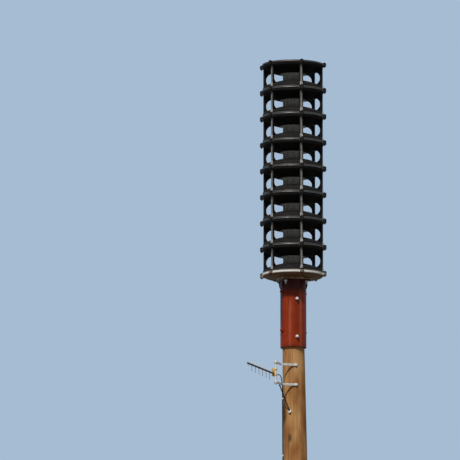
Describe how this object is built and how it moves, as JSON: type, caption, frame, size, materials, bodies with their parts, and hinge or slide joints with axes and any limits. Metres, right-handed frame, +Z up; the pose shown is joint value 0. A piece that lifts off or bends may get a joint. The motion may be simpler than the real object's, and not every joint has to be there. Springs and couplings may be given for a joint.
{
  "type": "civil defense siren tower",
  "caption": "Outdoor warning siren: a stack of black radial horn cells with arched ribs on a steel sleeve over a wood pole, with a small antenna on a bracket.",
  "frame": {"origin": "centre of the pole at the ground line", "axes": "+Z up; one rib of every horn mouth faces -Y, and the antenna bracket is on the -X, -Y side"},
  "size_m": [1.0921, 1.3234, 15.3034],
  "materials": {
    "treated_pine": "weathered, preservative treated round wood with checks and knots",
    "red_oxide_steel": "red oxide primer, weathered",
    "pale_casting": "pale weathered paint on cast aluminium",
    "black_casting": "black paint on cast aluminium, worn paler at the rims",
    "grey_throat": "dark grey paint",
    "galvanised_steel": "hot dip galvanised",
    "mast_aluminium": "satin",
    "yellow_chromate_steel": "yellow chromate on zinc",
    "bronze_anodised_boom": "dark bronze anodised",
    "cable_jacket": "black polyethylene jacket",
    "grey_guard": "grey moulded plastic, sun faded"
  },
  "bodies": {
    "root": {"wood_pole": "treated_pine", "pole_sleeve": "red_oxide_steel", "base_bell": "pale_casting", "lower_horn_1": "black_casting", "lower_horn_2": "black_casting", "lower_horn_3": "black_casting", "lower_horn_4": "black_casting", "lower_horn_5": "black_casting", "lower_horn_6": "black_casting", "lower_horn_7": "black_casting", "lower_horn_8": "black_casting", "driver_throat_1": "grey_throat", "driver_throat_2": "grey_throat", "driver_throat_3": "grey_throat", "driver_throat_4": "grey_throat", "driver_throat_5": "grey_throat", "driver_throat_6": "grey_throat", "driver_throat_7": "grey_throat", "driver_throat_8": "grey_throat", "mouth_ribs_1": "black_casting", "mouth_ribs_2": "black_casting", "mouth_ribs_3": "black_casting", "mouth_ribs_4": "black_casting", "mouth_ribs_5": "black_casting", "mouth_ribs_6": "black_casting", "mouth_ribs_7": "black_casting", "mouth_ribs_8": "black_casting", "upper_horn_1": "black_casting", "upper_horn_2": "black_casting", "upper_horn_3": "black_casting", "upper_horn_4": "black_casting", "upper_horn_5": "black_casting", "upper_horn_6": "black_casting", "upper_horn_7": "black_casting", "upper_horn_8": "black_casting", "top_cover": "black_casting", "mounting_bolts": "galvanised_steel", "sleeve_bolts": "galvanised_steel", "bracket_arms": "galvanised_steel", "antenna_mast": "mast_aluminium", "boom_clamp": "yellow_chromate_steel", "yagi_antenna": "bronze_anodised_boom", "coax_cable": "cable_jacket", "cable_clips": "galvanised_steel", "cable_guard": "grey_guard"}
  },
  "joints": []
}
